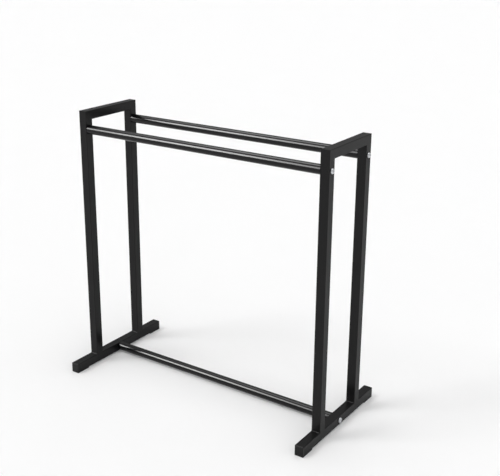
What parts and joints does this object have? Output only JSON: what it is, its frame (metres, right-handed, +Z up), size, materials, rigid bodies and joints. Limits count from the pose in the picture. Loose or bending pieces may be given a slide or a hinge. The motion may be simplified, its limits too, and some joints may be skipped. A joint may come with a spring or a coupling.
{
  "type": "racket rack",
  "caption": "Free-standing floor rack with square tube end frames joined by round rails, where rackets hang between the upper rails.",
  "frame": {"origin": "on the floor, under the middle of the rack", "axes": "+X along the rails to the right end frame, +Y from the front to the rear, +Z up"},
  "size_m": [0.8094, 0.38, 0.776],
  "materials": {
    "frame_coat": "satin",
    "rail_enamel": "gloss",
    "plug_steel": "turned",
    "screw_zinc": "bright zinc plate",
    "cap_plastic": "moulded",
    "pad_rubber": "matt"
  },
  "bodies": {
    "root": {"bottom_left_button_screw": "screw_zinc", "bottom_left_threaded_plug": "plug_steel", "bottom_rail": "rail_enamel", "bottom_right_button_screw": "screw_zinc", "bottom_right_threaded_plug": "plug_steel", "front_top_left_button_screw": "screw_zinc", "front_top_left_threaded_plug": "plug_steel", "front_top_rail": "rail_enamel", "front_top_right_button_screw": "screw_zinc", "front_top_right_threaded_plug": "plug_steel", "left_foot_bar": "frame_coat", "left_front_foot_cap": "cap_plastic", "left_front_foot_pad": "pad_rubber", "left_front_upright": "frame_coat", "left_rear_foot_cap": "cap_plastic", "left_rear_foot_pad": "pad_rubber", "left_rear_upright": "frame_coat", "left_top_bar": "frame_coat", "rear_top_left_button_screw": "screw_zinc", "rear_top_left_threaded_plug": "plug_steel", "rear_top_rail": "rail_enamel", "rear_top_right_button_screw": "screw_zinc", "rear_top_right_threaded_plug": "plug_steel", "right_foot_bar": "frame_coat", "right_front_foot_cap": "cap_plastic", "right_front_foot_pad": "pad_rubber", "right_front_upright": "frame_coat", "right_rear_foot_cap": "cap_plastic", "right_rear_foot_pad": "pad_rubber", "right_rear_upright": "frame_coat", "right_top_bar": "frame_coat"}
  },
  "joints": []
}
